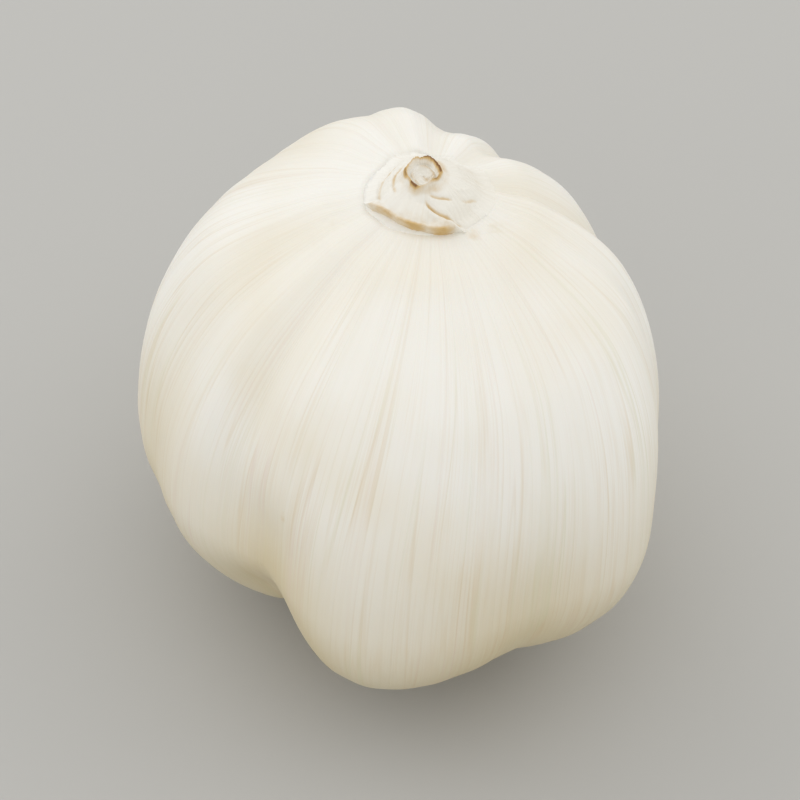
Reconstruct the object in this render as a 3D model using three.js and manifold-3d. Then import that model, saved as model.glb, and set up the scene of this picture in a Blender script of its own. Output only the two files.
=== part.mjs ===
// A white garlic bulb as sold: whole cloves in their tight papery skin, the neck cut short and the roots
// trimmed flush. It stands on the flat cut of its root plate. Millimetres, +Z up, front towards -Y, with the
// origin at the centre of that cut.
import * as THREE from "three";
import { mergeVertices } from "three/addons/utils/BufferGeometryUtils.js";
import Module from "manifold-3d";

// Driving dimensions of the bulb's section
const BELLY_HEIGHT = 22; // the widest level above the ground
const FOOT_CLEARANCE = 0.8; // the cloves' feet stay this far above the ground
const CROWN_RISE = 32.6; // from the widest level to the level of the neck
const FOOT_FULLNESS = 2.15; // superellipse exponents: over 2 is fuller than an ellipse
const CROWN_FULLNESS = 2.3;
const NECK_LEAN = new THREE.Vector2(3.2, 5.7); // how far the neck stands off the root's axis
const LEAN_POWER = 1.6; // the lean grows with the height to this power

// The cloves in order round the bulb, from +X towards +Y, in degrees and millimetres: the azimuth and the
// depth of the groove before each clove, and how far the clove's middle reaches from the axis. Where a groove
// is bridged, the taut skin leaves its floor at one latitude and has closed it at the other.
const CLOVES = [
  { from: 8, groove: 2.4, reach: 25.5 },
  { from: 52, groove: 2.4, reach: 25.5 },
  { from: 79, groove: 1.6, reach: 31 },
  { from: 108, groove: 1.4, reach: 31 },
  { from: 133, groove: 0.6, reach: 31.5 },
  { from: 190, groove: 1.2, reach: 28 },
  { from: 237, groove: 4.4, reach: 34, bridged: [-20, 40] },
  { from: 296, groove: 2.0, reach: 33, bridged: [-20, 40] },
  { from: 340, groove: 1.6, reach: 28.5, bridged: [-10, 50] },
];
const POLE_REACH = 25; // near the neck and the root every side tends to this reach
const CLOVE_TWIST = 5; // degrees by which the grooves turn on their way up to the neck
const SHARP_GROOVE = 0.22; // softness of the groove's floor low on the bulb
const SOFT_GROOVE = 0.6; // and at the neck, where the skin bridges the cloves
const GROOVE_FADE = { from: -20, over: 110, power: 0.8 }; // full depth at one latitude, none so far above it

// A place where a clove's tip lifts the skin, a clove's full flank, and a place where the skin sinks between
// two feet
const SWELLS = [
  { azimuth: 112, latitude: 62, rise: 2.2, azimuthSpread: 24, latitudeSpread: 13 },
  { azimuth: 203, latitude: 5, rise: 1, azimuthSpread: 14, latitudeSpread: 25 },
  { azimuth: 226, latitude: -28, rise: -2.6, azimuthSpread: 13, latitudeSpread: 22 },
];

// Fine relief of the skin: raised veins that turn into pleats at the neck
const VEINS = [
  { count: 44, share: 0.6, start: 0 },
  { count: 31, share: 0.4, start: 2 },
];
const VEIN_HEIGHT = 0.18;
const PLEAT_HEIGHT = 0.36;
const ROOT_VEIN_SHARE = 0.4;

// The hollow that the neck grows out of, and the one that holds the root plate
const COLLAR = { x: 7.2, y: 6.4, latitude: 77, rise: 0.9, spread: 4, depth: 2.4 };
const ROOT_RECESS = { radius: 8.9, latitude: -76, floor: 3.3 };
const CLEARANCE = 0.35; // between one grown piece and the next

// Latitudes run from -90 at the root to 90 at the neck. Each of these forms eases in between two of them.
const EASE = {
  twist: [0, 80],
  softGroove: [-20, 70],
  pleats: [50, COLLAR.latitude],
  neckReach: [40, COLLAR.latitude],
  neckRing: [66, COLLAR.latitude],
  rootReach: [-45, ROOT_RECESS.latitude],
  rootRing: [-66, ROOT_RECESS.latitude],
};

// The cut neck, a low knob of dry leaf sheaths: its section from the collar to the pith, with each point's
// distance out as a share of the collar's radius, and its height above the collar
const NECK_SECTION = [
  { out: 1, up: 0.15 },
  { out: 0.9, up: 0.8 },
  { out: 0.78, up: 1.15 }, // the outer sheath's torn edge
  { out: 0.75, up: 0.85 },
  { out: 0.6, up: 1.45 },
  { out: 0.5, up: 1.8 }, // the inner sheath's edge
  { out: 0.46, up: 1.55 },
  { out: 0.38, up: 2.2 },
  { out: 0.34, up: 2.65 }, // the rolled rim of the cut
  { out: 0.27, up: 2.6 },
  { out: 0.24, up: 1.9 },
  { out: 0.18, up: 1.9 },
  { out: 0.15, up: 2.35 }, // the pith
  { out: 0.08, up: 2.4 },
];
const PITH_TOP = 2.2;
const NECK_SHIFT = new THREE.Vector2(-0.7, 0.3); // the cut end stands this far off the knob's foot
const NECK_PLEATS = { count: 14, height: 0.26, over: [0, 1], out: [0.2, 0.6] };
const RIM_WAVE = { count: 3, height: 0.2, start: 1, over: [1.6, 2.65] };

// The root plate and its trimmed roots
const PLATE = { face: 5.6, edge: 5.9, shoulder: 6.4, top: 2.9, bevel: 0.35, waist: 1.4, round: 0.5 };
const ROOT_RINGS = [
  { count: 20, start: 4.9, end: 6.6, radius: 0.62 },
  { count: 25, start: 5.6, end: 7.9, radius: 0.55 },
];
const ROOT_TOP = 2.2; // the roots start this high, inside the plate
const ROOT_OVERSHOOT = 1; // and run this far below the ground before they are trimmed
const ROOT_TAPER = 0.85;
const ROOT_SCATTER = { turn: 0.22, spread: 0.15 };
const ROOT_SIDES = 6;
const ROOT_SEED = 17;
const TRIM_WIDTH = 60;

// Resolution
const COLUMNS = 132;
const ROWS = 30;
const NECK_COLUMNS = 56;
const PLATE_COLUMNS = 40;
const MERGE_DISTANCE = 1e-4;

const UP = new THREE.Vector3(0, 0, 1);
const { clamp, degToRad, lerp, smoothstep } = THREE.MathUtils;

const wasm = await Module();
wasm.setup();

function bell(x) {
  return Math.exp(-x * x);
}

// How far a latitude lies along one of the stretches in EASE, from 0 to 1, either way up.
function along(latitude, [start, end]) {
  const sign = Math.sign(end - start);
  return smoothstep(sign * latitude, sign * start, sign * end);
}

// A repeatable draw between -1 and 1.
function seeded(seed) {
  const modulus = 2147483647;
  const multiplier = 16807;
  let state = seed;
  return () => {
    state = (state * multiplier) % modulus;
    return (2 * state) / modulus - 1;
  };
}

// The clove that an azimuth lies on, and how far across it, from 0 at one groove to 1 at the next.
function cloveAt(azimuth) {
  const first = CLOVES[0].from;
  const turned = (((azimuth - first) % 360) + 360) % 360;
  const index = CLOVES.findLastIndex((clove) => clove.from - first <= turned);
  const end = index + 1 < CLOVES.length ? CLOVES[index + 1].from : first + 360;
  const start = CLOVES[index].from;
  return { index, across: (turned + first - start) / (end - start) };
}

function neighbour(index, step) {
  return CLOVES[(index + step + CLOVES.length) % CLOVES.length];
}

// Between two values, level at both ends.
function ease(a, b, share) {
  return lerp(a, b, (1 - Math.cos(Math.PI * share)) / 2);
}

// The bulb's reach, eased from the middle of one clove to the middle of the next.
function reachAt({ index, across }) {
  const here = CLOVES[index].reach;
  if (across < 0.5) return ease(neighbour(index, -1).reach, here, across + 0.5);
  return ease(here, neighbour(index, 1).reach, across - 0.5);
}

// The depth at a latitude of the groove before a clove.
function depthAt({ groove, bridged }, latitude) {
  return bridged ? groove * (1 - along(latitude, bridged)) : groove;
}

// How far the skin lies below the clove's crest: nothing on the crest, the groove's depth at its edges.
function grooveAt({ index, across }, latitude) {
  const depth = ease(depthAt(CLOVES[index], latitude), depthAt(neighbour(index, 1), latitude), across);
  const softness = lerp(SHARP_GROOVE, SOFT_GROOVE, along(latitude, EASE.softGroove));
  const rounded = (x) => Math.hypot(x, softness) - softness;
  return depth * (1 - rounded(Math.sin(Math.PI * across)) / rounded(1));
}

// A quarter of a superellipse: the share of the radius and of the height at a latitude.
function sectionAt(latitude) {
  const angle = degToRad(latitude);
  const power = 2 / (latitude < 0 ? FOOT_FULLNESS : CROWN_FULLNESS);
  const up = Math.abs(Math.sin(angle)) ** power;
  return {
    out: Math.max(Math.cos(angle), 0) ** power,
    rise: latitude < 0 ? (FOOT_CLEARANCE - BELLY_HEIGHT) * up : CROWN_RISE * up,
  };
}

// How far off the root's axis the bulb's middle stands at a height.
function leanAt(height) {
  const share = Math.max(height / (BELLY_HEIGHT + CROWN_RISE), 0) ** LEAN_POWER;
  return NECK_LEAN.clone().multiplyScalar(share);
}

// The veins' wave round the bulb, between -1 and 1: two counts that beat, so that no two veins are alike.
function veinWave(azimuth) {
  const waves = VEINS.map(({ count, share, start }) => share * Math.cos(degToRad(count * azimuth) + start));
  return waves.reduce((sum, wave) => sum + wave);
}

// How far the local swells and hollows move the skin outwards.
function swellAt(azimuth, latitude) {
  const moves = SWELLS.map((swell) => {
    const turn = ((azimuth - swell.azimuth + 540) % 360) - 180;
    const climb = latitude - swell.latitude;
    return swell.rise * bell(turn / swell.azimuthSpread) * bell(climb / swell.latitudeSpread);
  });
  return moves.reduce((sum, move) => sum + move);
}

// How far grooves, veins, pleats and swells together move the skin outwards.
function reliefAt(clove, azimuth, latitude) {
  const faded = clamp((latitude - GROOVE_FADE.from) / GROOVE_FADE.over, -1, 1);
  const strength = Math.cos((Math.PI / 2) * faded) ** GROOVE_FADE.power;
  const height = lerp(VEIN_HEIGHT, PLEAT_HEIGHT, along(latitude, EASE.pleats));
  const vein = height * lerp(1, ROOT_VEIN_SHARE, along(latitude, EASE.rootReach)) * veinWave(azimuth);
  return vein + swellAt(azimuth, latitude) - strength * grooveAt(clove, latitude);
}

function collarRadiusAt(turn) {
  return Math.hypot(COLLAR.x * Math.cos(turn), COLLAR.y * Math.sin(turn));
}

// A point of the skin at an azimuth and a latitude.
function skinPoint(azimuth, latitude) {
  const nearNeck = along(latitude, EASE.neckReach);
  const nearPole = Math.max(nearNeck, along(latitude, EASE.rootReach));
  const clove = cloveAt(azimuth - CLOVE_TWIST * along(latitude, EASE.twist));
  const reach = lerp(reachAt(clove), POLE_REACH, nearPole);
  const relief = reliefAt(clove, azimuth, latitude);
  const { out, rise } = sectionAt(latitude);
  const angle = degToRad(latitude);
  const turn = degToRad(azimuth);
  const collarRadius = collarRadiusAt(turn);

  let radius = reach * out + relief * Math.cos(angle);
  let height = BELLY_HEIGHT + rise + relief * Math.sin(angle);
  height += COLLAR.rise * nearNeck * bell((radius - collarRadius) / COLLAR.spread);
  radius = lerp(radius, collarRadius, along(latitude, EASE.neckRing));
  radius = lerp(radius, ROOT_RECESS.radius, along(latitude, EASE.rootRing));

  const lean = leanAt(height);
  return new THREE.Vector3(lean.x + radius * Math.cos(turn), lean.y + radius * Math.sin(turn), height);
}

// One ring of points from a rule that takes the azimuth in degrees.
function ring(columns, rule) {
  return Array.from({ length: columns }, (_, column) => rule((360 * column) / columns));
}

// A closed solid from rings of points, lowest first, with a point that closes each end.
function ringSolid(rings, bottom, top) {
  const columns = rings[0].length;
  const points = [...rings.flat(), bottom, top];
  const index = [];
  for (let column = 0; column < columns; column++) {
    const next = (column + 1) % columns;
    index.push(points.length - 2, next, column);
    for (let row = 0; row < rings.length - 1; row++) {
      const here = row * columns;
      const above = here + columns;
      index.push(here + column, here + next, above + next);
      index.push(here + column, above + next, above + column);
    }
    const last = (rings.length - 1) * columns;
    index.push(last + column, last + next, points.length - 1);
  }
  const geometry = new THREE.BufferGeometry().setFromPoints(points);
  geometry.setIndex(index);
  geometry.computeVertexNormals();
  return geometry;
}

function named(name, geometry, color, roughness) {
  const mesh = new THREE.Mesh(geometry, new THREE.MeshStandardMaterial({ color, roughness, metalness: 0 }));
  mesh.name = name;
  return mesh;
}

const collarHeight = BELLY_HEIGHT + sectionAt(COLLAR.latitude).rise + COLLAR.rise;
const neckFoot = leanAt(collarHeight);

// The cloves in their skin, one grown body, hollowed a little round the neck and under the foot.
function bulb() {
  const recessFloor = ring(COLUMNS, (azimuth) => {
    const turn = degToRad(azimuth);
    const { radius, floor } = ROOT_RECESS;
    return new THREE.Vector3(radius * Math.cos(turn), radius * Math.sin(turn), floor);
  });
  const collarFloor = ring(COLUMNS, (azimuth) => {
    const turn = degToRad(azimuth);
    const radius = collarRadiusAt(turn);
    const x = neckFoot.x + radius * Math.cos(turn);
    return new THREE.Vector3(x, neckFoot.y + radius * Math.sin(turn), collarHeight - COLLAR.depth);
  });
  const skin = Array.from({ length: ROWS + 1 }, (_, row) => {
    const latitude = lerp(ROOT_RECESS.latitude, COLLAR.latitude, row / ROWS);
    return ring(COLUMNS, (azimuth) => skinPoint(azimuth, latitude));
  });
  const bottom = new THREE.Vector3(0, 0, ROOT_RECESS.floor);
  const top = new THREE.Vector3(neckFoot.x, neckFoot.y, collarHeight - COLLAR.depth);
  return named("bulb", ringSolid([recessFloor, ...skin, collarFloor], bottom, top), 0xf1ede2, 0.55);
}

// The cut neck: dry sheaths in a low pleated knob, stepped where one ends, up to a rolled rim round the pith.
function neck() {
  const top = NECK_SECTION.at(-1).up;
  const seat = { out: 1, up: CLEARANCE - COLLAR.depth };
  const centreAt = (up) => NECK_SHIFT.clone().multiplyScalar(smoothstep(up, 0, top)).add(neckFoot);
  const rings = [seat, ...NECK_SECTION].map(({ out, up }) =>
    ring(NECK_COLUMNS, (azimuth) => {
      const turn = degToRad(azimuth);
      const strength = smoothstep(up, ...NECK_PLEATS.over) * smoothstep(out, ...NECK_PLEATS.out);
      const pleat = strength * NECK_PLEATS.height * Math.cos(NECK_PLEATS.count * turn);
      const radius = (collarRadiusAt(turn) - CLEARANCE) * out + pleat;
      const rim = RIM_WAVE.height * Math.cos(RIM_WAVE.count * turn + RIM_WAVE.start);
      const centre = centreAt(up);
      const x = centre.x + radius * Math.cos(turn);
      const height = collarHeight + up + rim * smoothstep(up, ...RIM_WAVE.over);
      return new THREE.Vector3(x, centre.y + radius * Math.sin(turn), height);
    }),
  );
  const bottom = new THREE.Vector3(neckFoot.x, neckFoot.y, collarHeight + seat.up);
  const centre = centreAt(top);
  const pith = new THREE.Vector3(centre.x, centre.y, collarHeight + PITH_TOP);
  return named("neck", ringSolid(rings, bottom, pith), 0xd9c497, 0.75);
}

// A closed geometry as a solid that can be joined and trimmed.
function toSolid(geometry) {
  const bare = geometry.clone();
  bare.deleteAttribute("normal");
  bare.deleteAttribute("uv");
  const merged = mergeVertices(bare, MERGE_DISTANCE);
  return new wasm.Manifold(
    new wasm.Mesh({
      numProp: 3,
      vertProperties: new Float32Array(merged.attributes.position.array),
      triVerts: new Uint32Array(merged.index.array),
    }),
  );
}

function toGeometry(solid) {
  const { vertProperties, triVerts } = solid.getMesh();
  const geometry = new THREE.BufferGeometry();
  geometry.setAttribute("position", new THREE.BufferAttribute(vertProperties, 3));
  geometry.setIndex(new THREE.BufferAttribute(triVerts, 1));
  geometry.computeVertexNormals();
  return geometry;
}

// One root, a tapered prism from inside the plate to just below the ground.
function root(from, to, radius) {
  const run = to.clone().sub(from);
  const geometry = new THREE.CylinderGeometry(radius * ROOT_TAPER, radius, run.length(), ROOT_SIDES);
  const aim = new THREE.Quaternion().setFromUnitVectors(new THREE.Vector3(0, 1, 0), run.clone().normalize());
  geometry.applyQuaternion(aim);
  const middle = from.clone().add(to).multiplyScalar(0.5);
  return geometry.translate(middle.x, middle.y, middle.z);
}

// The corky plate with its rings of trimmed roots, all cut flush by one stroke at the ground.
function rootPlate() {
  const profile = [
    new THREE.Vector2(0, 0),
    new THREE.Vector2(PLATE.face, 0),
    new THREE.Vector2(PLATE.edge, PLATE.bevel),
    new THREE.Vector2(PLATE.shoulder, PLATE.waist),
    new THREE.Vector2(PLATE.shoulder, PLATE.top - PLATE.round),
    new THREE.Vector2(PLATE.shoulder - PLATE.round, PLATE.top),
    new THREE.Vector2(0, PLATE.top),
  ];
  let solid = toSolid(new THREE.LatheGeometry(profile, PLATE_COLUMNS).rotateX(Math.PI / 2));
  const draw = seeded(ROOT_SEED);
  for (const { count, start, end, radius } of ROOT_RINGS) {
    for (let i = 0; i < count; i++) {
      const turn = (2 * Math.PI * (i + ROOT_SCATTER.turn * draw())) / count + start;
      const spread = end - start + ROOT_SCATTER.spread * draw();
      const outwards = new THREE.Vector3(1, 0, 0).applyAxisAngle(UP, turn);
      const from = outwards.clone().multiplyScalar(start).setZ(ROOT_TOP);
      const stretch = (ROOT_TOP + ROOT_OVERSHOOT) / ROOT_TOP;
      const to = outwards.clone().multiplyScalar(start + spread * stretch).setZ(-ROOT_OVERSHOOT);
      solid = solid.add(toSolid(root(from, to, radius)));
    }
  }
  const trim = new THREE.BoxGeometry(TRIM_WIDTH, TRIM_WIDTH, 2 * ROOT_OVERSHOOT);
  solid = solid.subtract(toSolid(trim.translate(0, 0, -ROOT_OVERSHOOT)));
  return named("root_plate", toGeometry(solid), 0xb39a72, 0.85);
}

const garlic = new THREE.Group();
garlic.add(bulb(), neck(), rootPlate());

export default garlic;
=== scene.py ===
"""Looks of a white garlic bulb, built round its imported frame.

Forms are worked out in millimetres and degrees, and meshes are made in metres.
An azimuth runs round the bulb from +X towards +Y. A latitude runs from -90 at the root to 90 at the neck.
"""

from __future__ import annotations

import logging
import math
from collections.abc import Sequence
from dataclasses import dataclass, field
from enum import Enum

import bpy
import numpy as np
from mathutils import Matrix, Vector
from mathutils.bvhtree import BVHTree


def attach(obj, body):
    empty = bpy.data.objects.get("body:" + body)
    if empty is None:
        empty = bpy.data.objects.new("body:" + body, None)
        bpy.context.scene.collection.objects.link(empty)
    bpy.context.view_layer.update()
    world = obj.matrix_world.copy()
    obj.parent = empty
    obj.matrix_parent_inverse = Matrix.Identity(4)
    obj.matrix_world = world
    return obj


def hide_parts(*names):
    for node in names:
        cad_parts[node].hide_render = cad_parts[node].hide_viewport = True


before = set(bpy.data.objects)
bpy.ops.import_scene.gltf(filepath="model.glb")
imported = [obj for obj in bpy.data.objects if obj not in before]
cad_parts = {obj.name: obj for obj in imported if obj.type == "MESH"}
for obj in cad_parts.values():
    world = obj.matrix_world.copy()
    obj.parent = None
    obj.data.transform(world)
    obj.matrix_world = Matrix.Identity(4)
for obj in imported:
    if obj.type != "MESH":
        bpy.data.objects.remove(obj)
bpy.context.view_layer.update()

log = logging.getLogger("garlic")

MM = 0.001
BODY = "root"

Array = np.ndarray
Colour = tuple[float, float, float]
WHITE: Colour = (1.0, 1.0, 1.0)
WARM_WHITE: Colour = (1.0, 0.98, 0.94)


class Slot(Enum):
    """The record's material slots."""

    SKIN = "papery_skin"
    NECK = "dry_neck"
    ROOT = "corky_root"


class Node(Enum):
    """The solids of the frame that the pieces stand for."""

    BULB = "bulb"
    NECK = "neck"
    ROOT_PLATE = "root_plate"


def ramp(value: Array | float, start: float, end: float) -> Array:
    """Eases from 0 to 1 as a value goes from one limit to the other, either way up.

    Args:
        value: The values to place between the limits.
        start: The value that gives 0.
        end: The value that gives 1.

    Returns:
        The eased shares.
    """
    share = np.clip((np.asarray(value, float) - start) / (end - start), 0, 1)
    return share * share * (3 - 2 * share)


def mix(a: Array | float, b: Array | float, share: Array | float) -> Array:
    """Blends two values."""
    return a + (b - a) * share


def bell(x: Array | float) -> Array:
    """Gives a bell curve of height 1 and half-width 1."""
    return np.exp(-np.square(x))


def turned(azimuth: Array | float, origin: float) -> Array:
    """Gives the signed turn in degrees from an origin, between -180 and 180."""
    return (np.asarray(azimuth, float) - origin + 180) % 360 - 180


def eased(a: Array, b: Array, share: Array) -> Array:
    """Blends two values, level at both ends."""
    return mix(a, b, (1 - np.cos(np.pi * share)) / 2)


def linear(red: int, green: int, blue: int) -> Colour:
    """Turns a colour as seen on a screen, 0 to 255, into light.

    Args:
        red: The red part.
        green: The green part.
        blue: The blue part.

    Returns:
        The linear red, green and blue, 0 to 1.
    """

    def one(value: int) -> float:
        """Decodes one channel by the screen's standard curve."""
        share = value / 255
        return share / 12.92 if share <= 0.04045 else ((share + 0.055) / 1.055) ** 2.4

    return one(red), one(green), one(blue)


class Ripple:
    """Smooth seeded noise in one or two directions, as a sum of a few waves."""

    # The most that one unit of the second coordinate turns a wave, in radians.
    DRIFT = 6

    def __init__(self, seed: int, waves: int, lowest: float, highest: float) -> None:
        """Draws the waves.

        Args:
            seed: The seed of the draw.
            waves: How many waves there are.
            lowest: The fewest whole turns that a wave makes.
            highest: The most whole turns that a wave makes.
        """
        draw = np.random.default_rng(seed)
        self.turns = np.round(draw.uniform(lowest, highest, waves))
        self.drift = draw.uniform(-1, 1, waves)
        self.phase = draw.uniform(0, 2 * np.pi, waves)
        self.weight = draw.uniform(0.5, 1, waves) / np.sqrt(waves)

    def __call__(self, azimuth: Array, across: Array | float = 0.0) -> Array:
        """Reads the noise.

        Args:
            azimuth: Degrees round the axis.
            across: A second coordinate, of any unit.

        Returns:
            Values of about -1 to 1.
        """
        total = 0.0
        for turns, drift, phase, weight in zip(self.turns, self.drift, self.phase, self.weight):
            angle = turns * np.radians(azimuth) + self.DRIFT * drift * across + phase
            total = total + weight * np.sin(angle)
        return np.asarray(total)


@dataclass(frozen=True)
class Clove:
    """One clove's share of the bulb's outside, and where the skin bridges the groove before it."""

    start: float
    groove: float
    reach: float
    bridged: tuple[float, float] = (77.0, 90.0)

    def depth(self, latitude: Array) -> Array:
        """Gives the depth of the groove before the clove."""
        return self.groove * (1 - ramp(latitude, *self.bridged))


@dataclass(frozen=True)
class Swell:
    """A place where the skin is lifted, or sinks."""

    azimuth: float
    latitude: float
    rise: float
    azimuth_spread: float
    latitude_spread: float

    def at(self, azimuth: Array, latitude: Array) -> Array:
        """Gives how far the skin moves outwards."""
        across = turned(azimuth, self.azimuth) / self.azimuth_spread
        return self.rise * bell(across) * bell((latitude - self.latitude) / self.latitude_spread)


@dataclass(frozen=True)
class Mark:
    """A small crinkled, slightly browned place in the skin."""

    azimuth: float
    latitude: float
    azimuth_spread: float
    latitude_spread: float
    crinkle: float
    dryness: float

    def near(self, azimuth: Array, latitude: Array) -> Array:
        """Gives how near its middle a point lies, from 0 to 1."""
        across = turned(azimuth, self.azimuth) / self.azimuth_spread
        return bell(across) * bell((latitude - self.latitude) / self.latitude_spread)


@dataclass(frozen=True)
class BulbForm:
    """The outer form of the cloves in their skin: the solid's own sizes, and a few slight swells more."""

    belly_height: float = 22.0
    foot_clearance: float = 0.8
    crown_rise: float = 32.6
    foot_fullness: float = 2.15
    crown_fullness: float = 2.3
    lean: tuple[float, float] = (3.2, 5.7)
    lean_power: float = 1.6
    cloves: tuple[Clove, ...] = (
        Clove(8, 2.4, 25.5),
        Clove(52, 2.4, 25.5),
        Clove(79, 1.6, 31.0),
        Clove(108, 1.4, 31.0),
        Clove(133, 0.6, 31.5),
        Clove(190, 1.2, 28.0),
        Clove(237, 4.4, 34.0, (-20, 40)),
        Clove(296, 2.0, 33.0, (-20, 40)),
        Clove(340, 1.6, 28.5, (-10, 50)),
    )
    # The reach that all cloves ease to towards the root and the neck, and the latitudes where that starts.
    pole_reach: float = 25.0
    round_from: tuple[float, float] = (-45.0, 40.0)
    twist: float = 5.0
    twisted: tuple[float, float] = (0.0, 80.0)
    sharp_groove: float = 0.22
    soft_groove: float = 0.6
    softened: tuple[float, float] = (-20.0, 70.0)
    # The latitude where the grooves are deepest, how far from it they end, and how fast.
    groove_fade: tuple[float, float, float] = (-20.0, 110.0, 0.8)
    swells: tuple[Swell, ...] = (
        Swell(112, 62, 2.2, 24, 13),
        Swell(203, 5, 1.0, 14, 25),
        Swell(226, -28, -2.6, 13, 22),
        Swell(212, 30, 0.5, 7, 26),
        Swell(227, 36, -1.1, 8, 25),
        Swell(234, 9, -0.6, 13, 7),
    )
    collar: tuple[float, float] = (7.2, 6.4)
    collar_latitude: float = 77.0
    collar_from: float = 66.0
    collar_rise: float = 0.9
    collar_spread: float = 4.0
    recess_radius: float = 8.9
    recess_latitude: float = -76.0
    recess_from: float = -66.0
    recess_floor: float = 3.3

    def clove_at(self, azimuth: Array) -> tuple[Array, Array]:
        """Finds the clove that an azimuth lies on.

        Args:
            azimuth: Degrees round the bulb.

        Returns:
            The clove's number, and how far across it from 0 to 1.
        """
        starts = np.array([clove.start for clove in self.cloves])
        offsets = starts - starts[0]
        widths = np.diff(np.append(offsets, 360.0))
        travelled = (azimuth - starts[0]) % 360
        index = np.searchsorted(offsets, travelled, side="right") - 1
        return index, (travelled - offsets[index]) / widths[index]

    def reach_at(self, index: Array, across: Array) -> Array:
        """Gives the bulb's reach, eased from one clove's middle to the next.

        Args:
            index: The number of the clove that each point lies on.
            across: How far across the clove it lies, from 0 to 1.

        Returns:
            The reaches, in millimetres.
        """
        reach = np.array([clove.reach for clove in self.cloves])
        count = len(reach)
        first = eased(reach[(index - 1) % count], reach[index], across + 0.5)
        second = eased(reach[index], reach[(index + 1) % count], across - 0.5)
        return np.where(across < 0.5, first, second)

    def groove_at(self, azimuth: Array, latitude: Array) -> Array:
        """Gives how far the skin lies below the crest of its clove.

        Args:
            azimuth: Degrees round the bulb.
            latitude: Degrees up the bulb.

        Returns:
            The depths, which fade towards the neck.
        """
        index, across = self.clove_at(self.untwisted(azimuth, latitude))
        depths = np.stack([clove.depth(latitude) for clove in self.cloves])
        here = np.take_along_axis(depths, index[None], 0)[0]
        after = np.take_along_axis(depths, (index[None] + 1) % len(self.cloves), 0)[0]
        softness = mix(self.sharp_groove, self.soft_groove, ramp(latitude, *self.softened))
        top = np.hypot(1, softness) - softness
        lobe = (np.hypot(np.sin(np.pi * across), softness) - softness) / top
        start, over, power = self.groove_fade
        strength = np.cos(np.pi / 2 * np.clip((latitude - start) / over, -1, 1)) ** power
        return strength * eased(here, after, across) * (1 - lobe)

    def untwisted(self, azimuth: Array, latitude: Array) -> Array:
        """Takes the grooves' turn towards the neck out of an azimuth."""
        return azimuth - self.twist * ramp(latitude, *self.twisted)

    def collar_radius(self, azimuth: Array) -> Array:
        """Gives the radius of the collar round the neck."""
        turn = np.radians(azimuth)
        return np.hypot(self.collar[0] * np.cos(turn), self.collar[1] * np.sin(turn))

    def lean_at(self, height: Array) -> Array:
        """Gives how far the bulb's middle stands off the root's axis at a height."""
        share = np.maximum(height / (self.belly_height + self.crown_rise), 0) ** self.lean_power
        return np.stack([self.lean[0] * share, self.lean[1] * share], -1)

    @property
    def collar_height(self) -> float:
        """The height of the collar round the neck."""
        up = math.sin(math.radians(self.collar_latitude)) ** (2 / self.crown_fullness)
        return self.belly_height + self.crown_rise * up + self.collar_rise

    def points(self, azimuth: Array, latitude: Array) -> Array:
        """Works out points of the skin.

        Args:
            azimuth: Degrees round the bulb.
            latitude: Degrees up the bulb, between the recess and the collar.

        Returns:
            The points, in millimetres.
        """
        round_root, round_neck = self.round_from
        near_neck = ramp(latitude, round_neck, self.collar_latitude)
        near_pole = np.maximum(near_neck, ramp(latitude, round_root, self.recess_latitude))
        index, across = self.clove_at(self.untwisted(azimuth, latitude))
        reach = mix(self.reach_at(index, across), self.pole_reach, near_pole)
        relief = sum(swell.at(azimuth, latitude) for swell in self.swells)
        relief = relief - self.groove_at(azimuth, latitude)

        angle = np.radians(latitude)
        power = 2 / np.where(latitude < 0, self.foot_fullness, self.crown_fullness)
        up = np.abs(np.sin(angle)) ** power
        fall = self.foot_clearance - self.belly_height
        rise = np.where(latitude < 0, fall, self.crown_rise) * up
        radius = reach * np.maximum(np.cos(angle), 0) ** power + relief * np.cos(angle)
        height = self.belly_height + rise + relief * np.sin(angle)
        collar = self.collar_radius(azimuth)
        height = height + self.collar_rise * near_neck * bell((radius - collar) / self.collar_spread)
        radius = mix(radius, collar, ramp(latitude, self.collar_from, self.collar_latitude))
        in_recess = ramp(latitude, self.recess_from, self.recess_latitude)
        radius = mix(radius, self.recess_radius, in_recess)
        turn = np.radians(azimuth)
        flat = self.lean_at(height) + radius[..., None] * np.stack([np.cos(turn), np.sin(turn)], -1)
        return np.concatenate([flat, height[..., None]], -1)


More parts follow.
